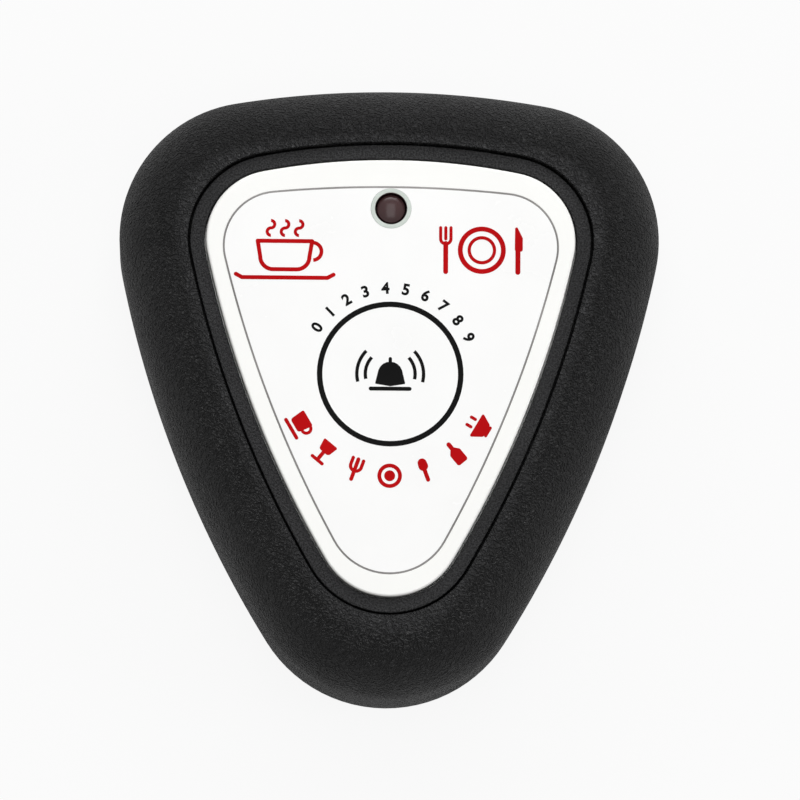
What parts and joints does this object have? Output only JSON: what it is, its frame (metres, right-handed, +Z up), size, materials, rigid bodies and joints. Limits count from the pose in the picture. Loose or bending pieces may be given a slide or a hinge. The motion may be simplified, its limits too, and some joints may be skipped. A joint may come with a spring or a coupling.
{
  "type": "waiter call button",
  "caption": "Pick-shaped table call button with a domed black surround, a white press key, a small lamp and a flat back.",
  "frame": {"origin": "middle of the body's box at its flat back", "axes": "+Z up out of the key, +Y towards the wide end with the lamp, +X to the right"},
  "size_m": [0.058, 0.0658, 0.0165],
  "materials": {
    "surround_grain": "soft-touch leather grain",
    "bezel_black": "fine matt texture",
    "key_white": "gloss",
    "film_print": "semi-gloss printed film",
    "collar_clear": "translucent pale green",
    "lamp_smoke": "dark smoked red",
    "tinned_wire": "tinned",
    "spacer_black": "matt",
    "board_green": "solder mask",
    "silicone_grey": "silicone",
    "screw_steel": "zinc plated",
    "switch_black": "matt",
    "switch_steel": "stamped",
    "plunger_black": "matt",
    "dome_steel": "spring steel",
    "terminal_tin": "tinned",
    "holder_black": "matt",
    "cell_steel": "satin",
    "contact_nickel": "nickel plated",
    "chip_black": "moulded epoxy",
    "leg_tin": "tinned",
    "can_metal": "plated",
    "resistor_black": "ceramic",
    "capacitor_tan": "ceramic",
    "base_black": "fine spark texture",
    "gasket_grey": "silicone"
  },
  "bodies": {
    "body": {"surround": "surround_grain", "bezel_frame": "bezel_black", "led_lens": "lamp_smoke", "led_leads": "tinned_wire", "led_spacer": "spacer_black", "circuit_board": "board_green", "key_membrane": "silicone_grey", "board_screws": "screw_steel", "switch_housing": "switch_black", "switch_cover": "switch_steel", "switch_dome": "dome_steel", "switch_terminals": "terminal_tin", "battery_holder": "holder_black", "coin_cell": "cell_steel", "positive_contact": "contact_nickel", "negative_contact": "contact_nickel", "encoder_chip": "chip_black", "encoder_legs": "leg_tin", "resonator_can": "can_metal", "rf_transistor": "chip_black", "transistor_legs": "leg_tin", "chip_resistors": "resistor_black", "chip_capacitors": "capacitor_tan", "antenna_wire": "tinned_wire", "base_plate": "base_black", "base_gasket": "gasket_grey", "base_screws": "screw_steel"},
    "key": {"key_plate": "key_white", "face_film": "film_print", "led_collar": "collar_clear"},
    "plunger": {"switch_plunger": "plunger_black"}
  },
  "joints": [
    {"name": "key_press", "type": "slide", "parent": "body", "child": "key", "axis": [0, 0, -1], "range_m": [0, 0.0003], "stiffness_N_per_m": 5000, "deforming": ["key_membrane"]},
    {"name": "plunger_travel", "type": "slide", "parent": "body", "child": "plunger", "axis": [0, 0, -1], "range_m": [0, 0.0003], "stiffness_N_per_m": 50, "deforming": ["switch_dome"]}
  ],
  "couplings": [
    {"joint": "plunger_travel", "follows": "key_press", "ratio": 1}
  ]
}
